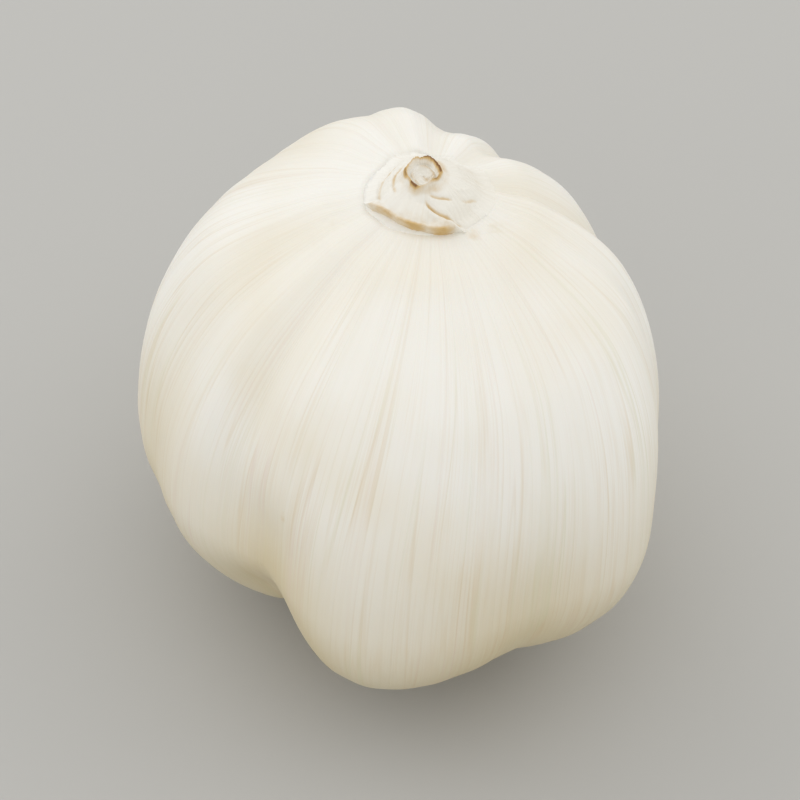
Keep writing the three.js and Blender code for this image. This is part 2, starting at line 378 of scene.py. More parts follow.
class NodeTree:
    """Adds and joins the nodes of one tree."""

    def __init__(self, tree: bpy.types.NodeTree) -> None:
        """Keeps the tree that is built."""
        self.tree = tree

    def add(self, kind: str, inputs: dict | None = None, **settings: object) -> bpy.types.Node:
        """Adds a node.

        Args:
            kind: The node's type name.
            inputs: A value or another node's socket for each input, by name or number.
            settings: The node's own properties.

        Returns:
            The node.
        """
        node = self.tree.nodes.new(kind)
        for key, value in settings.items():
            setattr(node, key, value)
        for key, value in (inputs or {}).items():
            if isinstance(value, bpy.types.NodeSocket):
                self.tree.links.new(value, node.inputs[key])
            else:
                node.inputs[key].default_value = value
        return node

    def math(self, operation: str, *values: object) -> bpy.types.NodeSocket:
        """Adds a sum on numbers and gives its result."""
        return self.add("ShaderNodeMath", dict(enumerate(values)), operation=operation).outputs[0]

    def vector(self, operation: str, *values: object) -> bpy.types.NodeSocket:
        """Adds a sum on vectors and gives its vector result."""
        return self.add("ShaderNodeVectorMath", dict(enumerate(values)), operation=operation).outputs[0]

    def scaled(self, vector: bpy.types.NodeSocket, amount: object) -> bpy.types.NodeSocket:
        """Adds a vector times a number."""
        inputs = {0: vector, "Scale": amount}
        return self.add("ShaderNodeVectorMath", inputs, operation="SCALE").outputs[0]

    def attribute(self, name: str, kind: str = "FLOAT") -> bpy.types.NodeSocket:
        """Adds a stored attribute of the geometry."""
        return self.add("GeometryNodeInputNamedAttribute", {"Name": name}, data_type=kind).outputs[0]

    def noise(
        self, vector: object, scale: float, detail: float, roughness: float = 0.5
    ) -> bpy.types.NodeSocket:
        """Adds a noise of about 0 to 1, with its middle at 0.5."""
        inputs = {"Vector": vector, "Scale": scale, "Detail": detail, "Roughness": roughness}
        return self.add("ShaderNodeTexNoise", inputs).outputs[0]

    def window(
        self, value: object, start: float, end: float, low: float = 0.0, high: float = 1.0
    ) -> bpy.types.NodeSocket:
        """Adds an eased step from one value to another."""
        inputs = {0: value, 1: start, 2: end, 3: low, 4: high}
        return self.add("ShaderNodeMapRange", inputs, interpolation_type="SMOOTHSTEP").outputs[0]

    def blend(self, share: object, a: object, b: object) -> bpy.types.NodeSocket:
        """Adds a blend of two colours.

        Args:
            share: The second colour's share, a number or a socket.
            a: The first colour, as numbers or a socket.
            b: The second colour, as numbers or a socket.

        Returns:
            The blend's socket.
        """
        colours = [(*c, 1.0) if isinstance(c, tuple) else c for c in (a, b)]
        inputs = {0: share, 6: colours[0], 7: colours[1]}
        return self.add("ShaderNodeMix", inputs, data_type="RGBA").outputs[2]


def new_material(name: str) -> tuple[bpy.types.Material, NodeTree]:
    """Makes an empty material.

    Args:
        name: The material's name.

    Returns:
        The material and its tree.
    """
    material = bpy.data.materials.new(name)
    material.use_nodes = True
    material.node_tree.nodes.clear()
    return material, NodeTree(material.node_tree)


@dataclass(frozen=True)
class Veins:
    """A set of thin lines that run from the root to the neck."""

    density: float
    wander: float
    width: float
    share: float

    def lines(self, tree: NodeTree, flow: bpy.types.NodeSocket) -> bpy.types.NodeSocket:
        """Adds the lines.

        Args:
            tree: The material's tree.
            flow: The socket with the way round and up the bulb.

        Returns:
            A socket that is 1 on a line and 0 between.
        """
        drawn_out = tree.vector("MULTIPLY", flow, (self.density, self.density, self.wander))
        away = tree.math("ABSOLUTE", tree.math("SUBTRACT", tree.noise(drawn_out, 1.0, 1.0), 0.5))
        return tree.window(away, 0.0, self.width, 1.0, 0.0)


@dataclass(frozen=True)
class Grain:
    """A noise that is drawn out along the fibres, and the part of its range that shows."""

    across: float
    along: float
    detail: float
    window: tuple[float, float] = (0.0, 1.0)
    share: float = 1.0
    roughness: float = 0.5

    def noise(self, tree: NodeTree, flow: bpy.types.NodeSocket) -> bpy.types.NodeSocket:
        """Adds the noise."""
        drawn_out = tree.vector("MULTIPLY", flow, (self.across, self.across, self.along))
        return tree.noise(drawn_out, 1.0, self.detail, self.roughness)


@dataclass(frozen=True)
class PaperFinish:
    """Dry white garlic skin: cream paper with fine long veins, tan where it is torn or dried."""

    name: str
    white: Colour = linear(238, 236, 229)
    cream: Colour = linear(229, 221, 201)
    # Painted shade: the colour that darkens the skin's grooves and lower half; on the neck it is only a
    # warm tint of the knob.
    painted_shade_and_knob_tint: Colour = linear(214, 201, 168)
    tan_vein: Colour = linear(209, 186, 146)
    pink_vein: Colour = linear(219, 196, 182)
    green_vein: Colour = linear(206, 203, 164)
    dry: Colour = linear(206, 174, 117)
    brown: Colour = linear(132, 93, 53)
    vein_strength: float = 0.38
    main_veins: Veins = Veins(density=21.0, wander=0.8, width=0.045, share=0.75)
    thin_veins: Veins = Veins(density=52.0, wander=1.6, width=0.07, share=0.4)
    streaks: Grain = Grain(30.0, 1.3, detail=3.0, window=(0.5, 0.74), share=0.55, roughness=0.6)
    hairs: Grain = Grain(150.0, 4.0, detail=2.0, window=(0.5, 0.8), share=0.2)
    patches: Grain = Grain(9.0, 3.0, detail=2.0, window=(0.36, 0.62))
    faintest_patch: float = 0.25
    hues: Grain = Grain(7.0, 1.2, detail=2.0)
    pink_to_tan: tuple[float, float] = (0.4, 0.48)
    tan_to_green: tuple[float, float] = (0.53, 0.6)
    cloud_scale: float = 45.0
    cloud_detail: float = 2.0
    cloud_window: tuple[float, float] = (0.38, 0.9)
    grit_scale: float = 900.0
    grit_detail: float = 3.0
    grit_spread: float = 0.45
    dry_window: tuple[float, float] = (0.15, 0.7)
    brown_window: tuple[float, float] = (0.62, 1.05)
    roughness: float = 0.54
    streak_roughness: float = 0.15
    dry_roughness: float = 0.2
    specular: float = 0.35
    translucence: float = 0.04
    translucence_reach: Colour = (0.8, 0.5, 0.3)
    translucence_scale: float = 0.0015
    bump: float = 0.3
    bump_depth: float = 0.0001
    bump_shares: tuple[float, float] = (0.4, 0.6)

    def vein_colour(self, tree: NodeTree, flow: bpy.types.NodeSocket) -> bpy.types.NodeSocket:
        """Adds the veins' colour, which wanders from pink to tan to green round the bulb.

        Args:
            tree: The material's tree.
            flow: The socket with the way round and up the bulb.

        Returns:
            The colour's socket.
        """
        hue = self.hues.noise(tree, flow)
        colour = tree.blend(tree.window(hue, *self.pink_to_tan), self.pink_vein, self.tan_vein)
        return tree.blend(tree.window(hue, *self.tan_to_green), colour, self.green_vein)

    def dried(self, tree: NodeTree, colour: object, dryness: object, place: object) -> bpy.types.NodeSocket:
        """Adds tan and brown where the paper is torn or dried.

        Args:
            tree: The material's tree.
            colour: The colour's socket before.
            dryness: The socket with the paper's dryness.
            place: The socket with the piece's own coordinates.

        Returns:
            The colour's socket.
        """
        noise = tree.noise(place, self.grit_scale, self.grit_detail)
        grit = tree.math("SUBTRACT", noise, 0.5)
        spread = tree.math("ADD", dryness, tree.math("MULTIPLY", grit, self.grit_spread))
        colour = tree.blend(tree.window(spread, *self.dry_window), colour, self.dry)
        return tree.blend(tree.window(spread, *self.brown_window), colour, self.brown)

    def material(self) -> bpy.types.Material:
        """Builds the material.

        Returns:
            A material that reads the piece's flow, dryness, depth and vein attributes. Depth blends in the
            shade colour: painted shade on the skin, a warm tint on the neck.
        """
        material, tree = new_material(self.name)
        flow = tree.add("ShaderNodeAttribute", attribute_name="flow").outputs["Vector"]
        dryness, depth, veined = (
            tree.add("ShaderNodeAttribute", attribute_name=name).outputs["Fac"]
            for name in ("dryness", "depth", "veined")
        )
        place = tree.add("ShaderNodeTexCoord").outputs["Object"]
        main = self.main_veins.lines(tree, flow)
        thin = self.thin_veins.lines(tree, flow)
        hair = self.hairs.noise(tree, flow)
        streak = self.streaks.noise(tree, flow)

        cloud = tree.noise(place, self.cloud_scale, self.cloud_detail)
        cloud = tree.window(cloud, *self.cloud_window)
        colour = tree.blend(cloud, self.white, self.cream)
        # Painted shade on the skin: the depth attribute blends in a darker, yellower colour in the grooves
        # and on the lower half. On the neck it gives the knob a warm tint.
        colour = tree.blend(depth, colour, self.painted_shade_and_knob_tint)
        patch = self.patches.noise(tree, flow)
        patch = tree.window(patch, *self.patches.window, self.faintest_patch, 1.0)
        local = tree.math("MULTIPLY", tree.math("MULTIPLY", veined, self.vein_strength), patch)
        vein_colour = self.vein_colour(tree, flow)
        layers = (
            (tree.window(streak, *self.streaks.window), self.streaks.share, vein_colour),
            (main, self.main_veins.share, vein_colour),
            (thin, self.thin_veins.share, self.tan_vein),
        )
        for lines, share, tint in layers:
            strength = tree.math("MULTIPLY", lines, tree.math("MULTIPLY", local, share))
            colour = tree.blend(strength, colour, tint)
        pale_hair = tree.math("MULTIPLY", tree.window(hair, *self.hairs.window), self.hairs.share)
        colour = self.dried(tree, tree.blend(pale_hair, colour, self.cream), dryness, place)

        parts = [tree.math("MULTIPLY", *pair) for pair in zip((main, hair), self.bump_shares)]
        relief = {"Strength": self.bump, "Distance": self.bump_depth, "Height": tree.math("ADD", *parts)}
        uneven = tree.math("MULTIPLY", tree.math("SUBTRACT", streak, 0.5), self.streak_roughness)
        rough = tree.math("ADD", uneven, self.roughness)
        rough = tree.math("ADD", rough, tree.math("MULTIPLY", dryness, self.dry_roughness))
        shader = tree.add(
            "ShaderNodeBsdfPrincipled",
            {
                "Base Color": colour,
                "Roughness": rough,
                "Normal": tree.add("ShaderNodeBump", relief).outputs[0],
                "Specular IOR Level": self.specular,
                "Subsurface Weight": self.translucence,
                "Subsurface Radius": self.translucence_reach,
                "Subsurface Scale": self.translucence_scale,
            },
        )
        tree.add("ShaderNodeOutputMaterial", {"Surface": shader.outputs[0]})
        return material


@dataclass(frozen=True)
class CorkFinish:
    """The corky root plate and the cut roots: pale brown, fibrous, with lighter cut ends."""

    name: str
    pale: Colour = linear(212, 190, 150)
    brown: Colour = linear(150, 116, 76)
    dark: Colour = linear(88, 62, 38)
    detail: float = 4.0
    patch_scale: float = 175.0
    patch_roughness: float = 0.6
    patch_window: tuple[float, float] = (0.38, 0.62)
    grain_scale: float = 700.0
    grain_roughness: float = 0.65
    grain_window: tuple[float, float] = (0.5, 0.72)
    roughness: float = 0.85
    bump: float = 0.6
    bump_depth: float = 0.0003

    def material(self) -> bpy.types.Material:
        """Builds the material.

        Returns:
            A material that reads object coordinates.
        """
        material, tree = new_material(self.name)
        place = tree.add("ShaderNodeTexCoord").outputs["Object"]
        patch = tree.noise(place, self.patch_scale, self.detail, self.patch_roughness)
        grain = tree.noise(place, self.grain_scale, self.detail, self.grain_roughness)
        colour = tree.blend(tree.window(patch, *self.patch_window), self.brown, self.pale)
        colour = tree.blend(tree.window(grain, *self.grain_window), colour, self.dark)
        relief = {"Strength": self.bump, "Distance": self.bump_depth, "Height": grain}
        normal = tree.add("ShaderNodeBump", relief).outputs[0]
        shader = tree.add(
            "ShaderNodeBsdfPrincipled",
            {"Base Color": colour, "Roughness": self.roughness, "Normal": normal},
        )
        tree.add("ShaderNodeOutputMaterial", {"Surface": shader.outputs[0]})
        return material


def new_piece(name: str, points: Array, faces: Sequence[Sequence[int]]) -> bpy.types.Object:
    """Makes a smooth mesh piece at the origin.

    Args:
        name: The piece's name.
        points: Its corners, in millimetres.
        faces: Its faces, by corner.

    Returns:
        The object, at the origin.
    """
    mesh = bpy.data.meshes.new(name)
    mesh.from_pydata((points * MM).tolist(), [], faces)
    mesh.polygons.foreach_set("use_smooth", np.ones(len(mesh.polygons), bool))
    mesh.validate()
    piece = bpy.data.objects.new(name, mesh)
    bpy.context.scene.collection.objects.link(piece)
    return piece


def store(piece: bpy.types.Object, name: str, values: Array) -> None:
    """Stores a number or a vector on each corner of a piece.

    Args:
        piece: The piece.
        name: The attribute's name.
        values: One value or one row of three for each corner.
    """
    kind = "FLOAT" if values.ndim == 1 else "FLOAT_VECTOR"
    attribute = piece.data.attributes.new(name, kind, "POINT")
    attribute.data.foreach_set("value" if values.ndim == 1 else "vector", values.astype(np.float32).ravel())


def ring_faces(rings: int, columns: int) -> list[tuple[int, ...]]:
    """Lists the faces between closed rings of corners, lowest ring first, that face outwards.

    Args:
        rings: How many rings there are.
        columns: How many corners a ring has.

    Returns:
        The faces, by corner.
    """
    faces = []
    for ring in range(rings - 1):
        low = ring * columns
        for column in range(columns):
            after = (column + 1) % columns
            faces.append((low + column, low + after, low + columns + after, low + columns + column))
    return faces


def cap_faces(first: int, columns: int, centre: int, upwards: bool) -> list[tuple[int, ...]]:
    """Lists the triangles that close a ring of corners with a centre."""
    pairs = [(first + column, first + (column + 1) % columns) for column in range(columns)]
    return [(a, b, centre) if upwards else (b, a, centre) for a, b in pairs]


def closed_faces(rings: int, columns: int) -> list[tuple[int, ...]]:
    """Lists the faces of rings of corners that a centre closes below, and another above.

    Args:
        rings: How many rings there are. The two centres' corners follow theirs.
        columns: How many corners a ring has.

    Returns:
        The faces, by corner.
    """
    bottom = rings * columns
    faces = ring_faces(rings, columns)
    faces += cap_faces(0, columns, bottom, upwards=False)
    return faces + cap_faces(bottom - columns, columns, bottom + 1, upwards=True)


def new_tree(name: str, sizes: dict[str, float]) -> tuple[NodeTree, dict[str, bpy.types.NodeSocket]]:
    """Makes an empty Geometry Nodes tree with named number inputs.

    Args:
        name: The tree's name.
        sizes: Its inputs and their first values.

    Returns:
        The tree and its inputs' sockets, with the geometry's under "Geometry".
    """
    group = bpy.data.node_groups.new(name, "GeometryNodeTree")
    group.interface.new_socket("Geometry", in_out="INPUT", socket_type="NodeSocketGeometry")
    for size, value in sizes.items():
        socket = group.interface.new_socket(size, in_out="INPUT", socket_type="NodeSocketFloat")
        socket.default_value = value
    group.interface.new_socket("Material", in_out="INPUT", socket_type="NodeSocketMaterial")
    group.interface.new_socket("Geometry", in_out="OUTPUT", socket_type="NodeSocketGeometry")
    tree = NodeTree(group)
    start = tree.add("NodeGroupInput")
    return tree, {socket.name: socket for socket in start.outputs if socket.name}


def close_tree(tree: NodeTree, geometry: bpy.types.NodeSocket, material: bpy.types.NodeSocket) -> None:
    """Ends a Geometry Nodes tree with real geometry in its material.

    Args:
        tree: The tree.
        geometry: The socket with the finished geometry.
        material: The socket with the material.
    """
    real = tree.add("GeometryNodeRealizeInstances", {"Geometry": geometry}).outputs[0]
    dressed = tree.add("GeometryNodeSetMaterial", {"Geometry": real, "Material": material}).outputs[0]
    tree.add("NodeGroupOutput", {0: dressed})


def run_tree(piece: bpy.types.Object, tree: NodeTree, values: dict[str, object]) -> bpy.types.Object:
    """Runs a Geometry Nodes tree on a piece and keeps the result as a plain mesh.

    Args:
        piece: The piece that the tree works on.
        tree: The tree.
        values: A value for each of the tree's inputs, by name.

    Returns:
        The piece, with its new mesh and no modifier.
    """
    modifier = piece.modifiers.new(tree.tree.name, "NODES")
    modifier.node_group = tree.tree
    for item in tree.tree.interface.items_tree:
        if item.in_out == "INPUT" and item.name in values:
            modifier[item.identifier] = values[item.name]
    evaluated = piece.evaluated_get(bpy.context.evaluated_depsgraph_get())
    mesh = bpy.data.meshes.new_from_object(evaluated)
    piece.modifiers.remove(modifier)
    piece.data = mesh
    mesh.name = piece.name
    mesh.polygons.foreach_set("use_smooth", np.ones(len(mesh.polygons), bool))
    return piece


def settle(piece: bpy.types.Object, slot: Slot, *nodes: Node) -> None:
    """Ties a finished piece to the frame and reports it.

    Args:
        piece: The piece.
        slot: The material slot that it takes its finish from. It is not used.
        nodes: The solids that it stands for.
    """
    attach(piece, BODY)
    if nodes:
        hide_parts(*(node.value for node in nodes))
    triangles = sum(len(face.vertices) - 2 for face in piece.data.polygons)
    log.info("%s: %d triangles", piece.name, triangles)


@dataclass(frozen=True)
class Pleats:
    """A set of even ridges all the way round the bulb, and its share of their whole height."""

    count: float
    share: float
    start: float


@dataclass
class Skin:
    """The cloves in their papery skin."""

    form: BulbForm
    finish: PaperFinish
    columns: int = 600
    # Latitudes, each with the number of the row of corners that lies on it.
    row_stops: tuple[tuple[float, int], ...] = ((-76, 0), (-66, 12), (-40, 34), (50, 88), (77, 154))
    cap_rows: int = 6
    cap_rise: float = 0.25
    vein_height: float = 0.045
    pleat_height: float = 0.01
    fibre_height: float = 0.06
    undulation_height: float = 0.5
    sunk_neck: float = 0.8
    neck_sinks: tuple[float, float] = (63.0, 75.0)
    sunk_collar: float = 0.7
    collar_sinks: tuple[float, float] = (72.0, 77.0)
    floor_step: float = 4.0
    fray_height: float = 0.3
    fray_above: float = -70.0
    frayed: Ripple = field(default_factory=lambda: Ripple(31, 14, 5, 44))
    pleats: tuple[Pleats, ...] = (Pleats(44.0, 0.6, 0.0), Pleats(31.0, 0.4, 2.0))
    pleated: tuple[float, float] = (50.0, 78.0)
    fibre_scale: tuple[float, float, float] = (26.0, 26.0, 1.6)
    fibre_detail: float = 2.0
    undulation_scale: float = 42.0
    undulation_shift: float = 0.1
    crinkle_scale: float = 850.0
    crinkle_shift: float = 0.2
    crinkle_roughness: float = 0.6
    smooth_below: tuple[float, float] = (-79.0, -72.0)
    # Painted shade: how much the skin is darkened in its grooves and on its lower half, which fades in from
    # the first latitude down to the second.
    painted_groove_shade: float = 0.2
    painted_low_shade: float = 0.85
    painted_shade_latitudes: tuple[float, float] = (30.0, -30.0)
    root_browns: tuple[float, float] = (-66.0, -77.0)
    root_dryness: tuple[float, float] = (0.5, 0.2)
    neck_dries: tuple[float, float] = (66.0, 80.0)
    neck_dryness: float = 0.12
    crown_veins: float = 0.45
    veins_fade: tuple[float, float] = (20.0, 62.0)
    neck_veins_lost: float = 0.6
    crinkle_height: float = 0.3
    marks: tuple[Mark, ...] = (
        Mark(197, 67.5, 14, 2.2, 1.2, 0.18),
        Mark(205, 63, 6, 1.6, 0.5, 0.12),
        Mark(308, 72, 8, 2.0, 1.0, 0.3),
        Mark(326, 70.5, 9, 2.2, 0.9, 0.22),
        Mark(346, 69, 12, 2.6, 0.5, 0.12),
        Mark(60, 66, 16, 3.0, 0.5, 0.1),
        Mark(241, 15, 1.3, 2.6, 0.35, 0.3),
    )
    tree_seed: float = 4.0

    def relief_tree(self) -> NodeTree:
        """Builds the tree that raises the veins, the pleats and the skin's slow undulation.

        Returns:
            A tree that reads the piece's azimuth, latitude, flow and crinkle attributes.
        """
        parts = ("Vein", "Pleat", "Fibre", "Undulation", "Crinkle")
        names = [*(f"{part} Height" for part in parts), "Seed"]
        tree, given = new_tree("SkinRelief", dict.fromkeys(names, 0.0))
        latitude = tree.attribute("latitude")
        turn = tree.math("RADIANS", tree.attribute("azimuth"))
        waves = []
        for pleats in self.pleats:
            angle = tree.math("ADD", tree.math("MULTIPLY", turn, pleats.count), pleats.start)
            waves.append(tree.math("MULTIPLY", tree.math("COSINE", angle), pleats.share))
        near_neck = tree.window(latitude, *self.pleated)
        veins = tree.math("MULTIPLY", given["Vein Height"], tree.math("SUBTRACT", 1.0, near_neck))
        pleats = tree.math("MULTIPLY", given["Pleat Height"], near_neck)
        height = tree.math("MULTIPLY", tree.math("ADD", veins, pleats), tree.math("ADD", *waves))

        seed = given["Seed"]
        shift = tree.add("ShaderNodeCombineXYZ", {0: seed, 1: seed, 2: seed}).outputs[0]
        place = tree.add("GeometryNodeInputPosition").outputs[0]
        flow = tree.vector("MULTIPLY", tree.attribute("flow", "FLOAT_VECTOR"), self.fibre_scale)
        slow_place = tree.vector("ADD", place, tree.scaled(shift, self.undulation_shift))
        fold_place = tree.vector("ADD", place, tree.scaled(shift, self.crinkle_shift))
        fibres = tree.noise(tree.vector("ADD", flow, shift), 1.0, self.fibre_detail)
        slow = tree.noise(slow_place, self.undulation_scale, 1.0)
        folds = tree.noise(fold_place, self.crinkle_scale, 2.0, self.crinkle_roughness)
        crinkle = tree.math("MULTIPLY", given["Crinkle Height"], tree.attribute("crinkle"))
        layers = ((fibres, given["Fibre Height"]), (slow, given["Undulation Height"]), (folds, crinkle))
        for noise, amount in layers:
            part = tree.math("MULTIPLY", tree.math("SUBTRACT", noise, 0.5), amount)
            height = tree.math("ADD", height, part)
        height = tree.math("MULTIPLY", height, tree.window(latitude, *self.smooth_below))
        normal = tree.add("GeometryNodeInputNormal").outputs[0]
        offset = tree.scaled(normal, tree.math("MULTIPLY", height, MM))
        moved = tree.add("GeometryNodeSetPosition", {"Geometry": given["Geometry"], "Offset": offset})
        close_tree(tree, moved.outputs[0], given["Material"])
        return tree

    def rings(self, azimuth: Array) -> tuple[list[Array], Array]:
        """Works out the rings of corners, from the recess's floor to the cap under the neck.

        Args:
            azimuth: Degrees round the bulb.

        Returns:
            The rings' corners in millimetres, and each ring's latitude.
        """
        form = self.form
        stops, numbers = zip(*self.row_stops)
        latitude = np.interp(np.arange(numbers[-1] + 1), numbers, stops)
        grid_azimuth, grid_latitude = np.meshgrid(azimuth, latitude)
        grid = form.points(grid_azimuth, grid_latitude)
        fading = ramp(latitude, self.fray_above, form.recess_latitude)[:, None]
        grid[..., 2] += self.fray_height * (self.frayed(azimuth) * fading)
        floor = grid[0].copy()
        floor[:, 2] = form.recess_floor
        centre = self.neck_centre()
        shares = np.linspace(1, 0, self.cap_rows + 1)[1:-1]
        cap = [mix(centre, grid[-1], share) for share in shares]
        grid[..., 2] -= self.sunk_neck * ramp(grid_latitude, *self.neck_sinks)
        grid[..., 2] -= self.sunk_collar * ramp(grid_latitude, *self.collar_sinks)
        for ring, share in zip(cap, shares):
            ring[:, 2] += self.cap_rise * (1 - share**2) - self.sunk_neck - self.sunk_collar
        in_recess = form.recess_latitude - self.floor_step
        latitudes = np.array([in_recess, *latitude, *mix(90, form.collar_latitude, shares)])
        return [floor, *grid, *cap], latitudes

    def neck_centre(self) -> Array:
        """Gives the point in the middle of the collar, in millimetres."""
        height = self.form.collar_height
        return np.array([*self.form.lean_at(np.array(height)), height])

    def store_finish(self, piece: bpy.types.Object, azimuth: Array, latitude: Array) -> None:
        """Stores what the relief and the material read on each corner.

        Args:
            piece: The skin.
            azimuth: Each corner's degrees round the bulb.
            latitude: Each corner's degrees up the bulb.
        """
        turn = np.radians(self.form.untwisted(azimuth, latitude))
        near_root = ramp(latitude, *self.root_browns)
        near_neck = ramp(latitude, *self.neck_dries)
        groove = self.form.groove_at(azimuth, latitude)
        # Painted shade in the grooves and on the lower half, stored as depth.
        shaded = self.painted_groove_shade * groove + self.painted_low_shade * ramp(latitude, *self.painted_shade_latitudes)
        marks = [(mark, mark.near(azimuth, latitude)) for mark in self.marks]
        stained = sum(mark.dryness * near for mark, near in marks)
        root_dryness, root_patches = self.root_dryness
        browned = (root_dryness + root_patches * self.frayed(azimuth)) * near_root
        veined = mix(1.0, self.crown_veins, ramp(latitude, *self.veins_fade))
        store(piece, "azimuth", azimuth)
        store(piece, "latitude", latitude)
        store(piece, "flow", np.stack([np.cos(turn), np.sin(turn), latitude / 90], -1))
        store(piece, "depth", np.clip(shaded, 0, 1))
        store(piece, "crinkle", sum(mark.crinkle * near for mark, near in marks))
        store(piece, "dryness", browned + self.neck_dryness * near_neck + stained)
        store(piece, "veined", veined * (1 - self.neck_veins_lost * near_neck))

    def build(self) -> bpy.types.Object:
        """Builds the skin.

        Returns:
            The finished piece.
        """
        azimuth = np.arange(self.columns) * 360 / self.columns
        rings, latitudes = self.rings(azimuth)
        corners = np.concatenate([*rings, [[0, 0, self.form.recess_floor]], [self.neck_centre()]])
        piece = new_piece("bulb_skin", corners, closed_faces(len(rings), self.columns))
        all_azimuth = np.append(np.tile(azimuth, len(rings)), [0, 0])
        all_latitude = np.append(np.repeat(latitudes, self.columns), [-90, 90])
        self.store_finish(piece, all_azimuth, all_latitude)
        values = {
            "Vein Height": self.vein_height,
            "Pleat Height": self.pleat_height,
            "Fibre Height": self.fibre_height,
            "Undulation Height": self.undulation_height,
            "Crinkle Height": self.crinkle_height,
            "Seed": self.tree_seed,
            "Material": self.finish.material(),
        }
        run_tree(piece, self.relief_tree(), values)
        settle(piece, Slot.SKIN, Node.BULB)
        return piece


@dataclass(frozen=True)
class Fold:
    """A ridge, or a crease, that runs part of the way round the neck from one radius to another."""

    start: float
    end: float
    start_radius: float
    end_radius: float
    height: float
    width: float
    dryness: float
    # The shares of its half-length between which the fold fades out.
    ends: tuple[float, float] = (0.6, 1.15)

    def at(self, azimuth: Array, radius: Array) -> Array:
        """Gives how near the fold's line a point lies.

        Args:
            azimuth: Degrees round the neck.
            radius: Millimetres from the neck's axis.

        Returns:
            Shares from 0, away from the fold, to 1 on its line.
        """
        middle = (self.start + self.end) / 2
        half = (self.end - self.start) / 2
        along = turned(azimuth, middle) / half
        crest = mix(self.start_radius, self.end_radius, (along + 1) / 2)
        return bell((radius - crest) / self.width) * (1 - ramp(np.abs(along), *self.ends))


@dataclass(frozen=True)
class Arc:
    """A stretch of an edge that has dried brown."""

    middle: float
    spread: float
    dryness: float

    def at(self, azimuth: Array) -> Array:
        """Gives how dry the edge is."""
        return self.dryness * bell(turned(azimuth, self.middle) / self.spread)


@dataclass(frozen=True)
class Wrinkles:
    """The ripples of dry sheaths: slow ones, fine ones, and creased ones that turn with the radius."""

    slow: Ripple = field(default_factory=lambda: Ripple(5, 9, 3, 13))
    fine: Ripple = field(default_factory=lambda: Ripple(11, 12, 14, 60))
    creased: Ripple = field(default_factory=lambda: Ripple(23, 10, 0, 4))


@dataclass(frozen=True)
class NeckRing:
    """The rolled brown rim that stands round the pith in the middle of the neck."""

    wrinkles: Wrinkles
    # The rim's own form.
    radii: tuple[float, float] = (1.85, 2.2)
    shift: float = -0.85
    corner_size: float = 0.12
    corner_count: int = 4
    corner_turn: float = 0.6
    roughness: float = 0.02
    width: float = 0.3
    height: float = 0.8
    slow_rag: float = 0.3
    fine_rag: float = 0.06
    # The second, lower rim inside it, and the pith.
    inner_share: float = 0.62
    inner_width: float = 0.24
    inner_height: float = 0.35
    pith_from: tuple[float, float] = (0.2, 0.6)
    pith_depth: float = 0.3
    pith_wrinkle: float = 0.08
    pith_turns: float = 3.0
    # How dry and brown each part is.
    dryness: float = 0.42
    driest: float = 1.1
    edge_softness: float = 1.3
    inner_dryness: float = 0.4
    halo_dryness: float = 0.4
    halo_offset: float = 0.3
    halo_width: float = 0.9
    halo_patches: float = 0.4
    pith_dryness: float = 0.14
    tan_dryness: float = 0.25
    tan_side: float = 315.0
    tan_spread: float = 40.0
    arcs: tuple[Arc, ...] = (
        Arc(75, 40, 0.6),
        Arc(16, 26, 1.1),
        Arc(241, 13, 1.05),
        Arc(180, 36, 0.5),
        Arc(315, 20, 0.42),
    )

    def relief(self, azimuth: Array, radius: Array) -> tuple[Array, Array]:
        """Works out the rim and the pith.

        Args:
            azimuth: Degrees round the neck.
            radius: Millimetres from the neck's axis.

        Returns:
            The height that they add in millimetres, and their dryness.
        """
        turn = np.radians(azimuth)
        across, along = radius * np.cos(turn) - self.shift, radius * np.sin(turn)
        around, out = np.degrees(np.arctan2(along, across)), np.hypot(across, along)
        turn = np.radians(around)
        slow, fine = self.wrinkles.slow(around), self.wrinkles.fine(around)
        rim = np.hypot(self.radii[0] * np.cos(turn), self.radii[1] * np.sin(turn))
        rim = rim + self.corner_size * np.cos(self.corner_count * turn + self.corner_turn)
        rim = rim + self.roughness * fine
        wall = bell((out - rim) / self.width)
        inner = bell((out - self.inner_share * rim) / self.inner_width)
        inside = ramp(out, rim - self.pith_from[0], rim - self.pith_from[1])
        height = self.height * (1 + self.slow_rag * slow + self.fine_rag * fine) * wall
        height = height + self.inner_height * inner - self.pith_depth * inside
        wrinkled = self.wrinkles.creased(around, self.pith_turns * out)
        height = height + inside * self.pith_wrinkle * wrinkled

        charred = np.clip(self.dryness + sum(arc.at(around) for arc in self.arcs), 0, self.driest)
        patches = 1 + self.halo_patches * self.wrinkles.creased(around, out)
        tan = self.tan_dryness * bell(turned(around, self.tan_side) / self.tan_spread)
        parts = (
            wall**self.edge_softness * charred,
            self.halo_dryness * bell((out - rim - self.halo_offset) / self.halo_width) * patches,
            inner * self.inner_dryness * charred,
            inside * (self.pith_dryness + tan),
        )
        return height, np.maximum.reduce(parts)


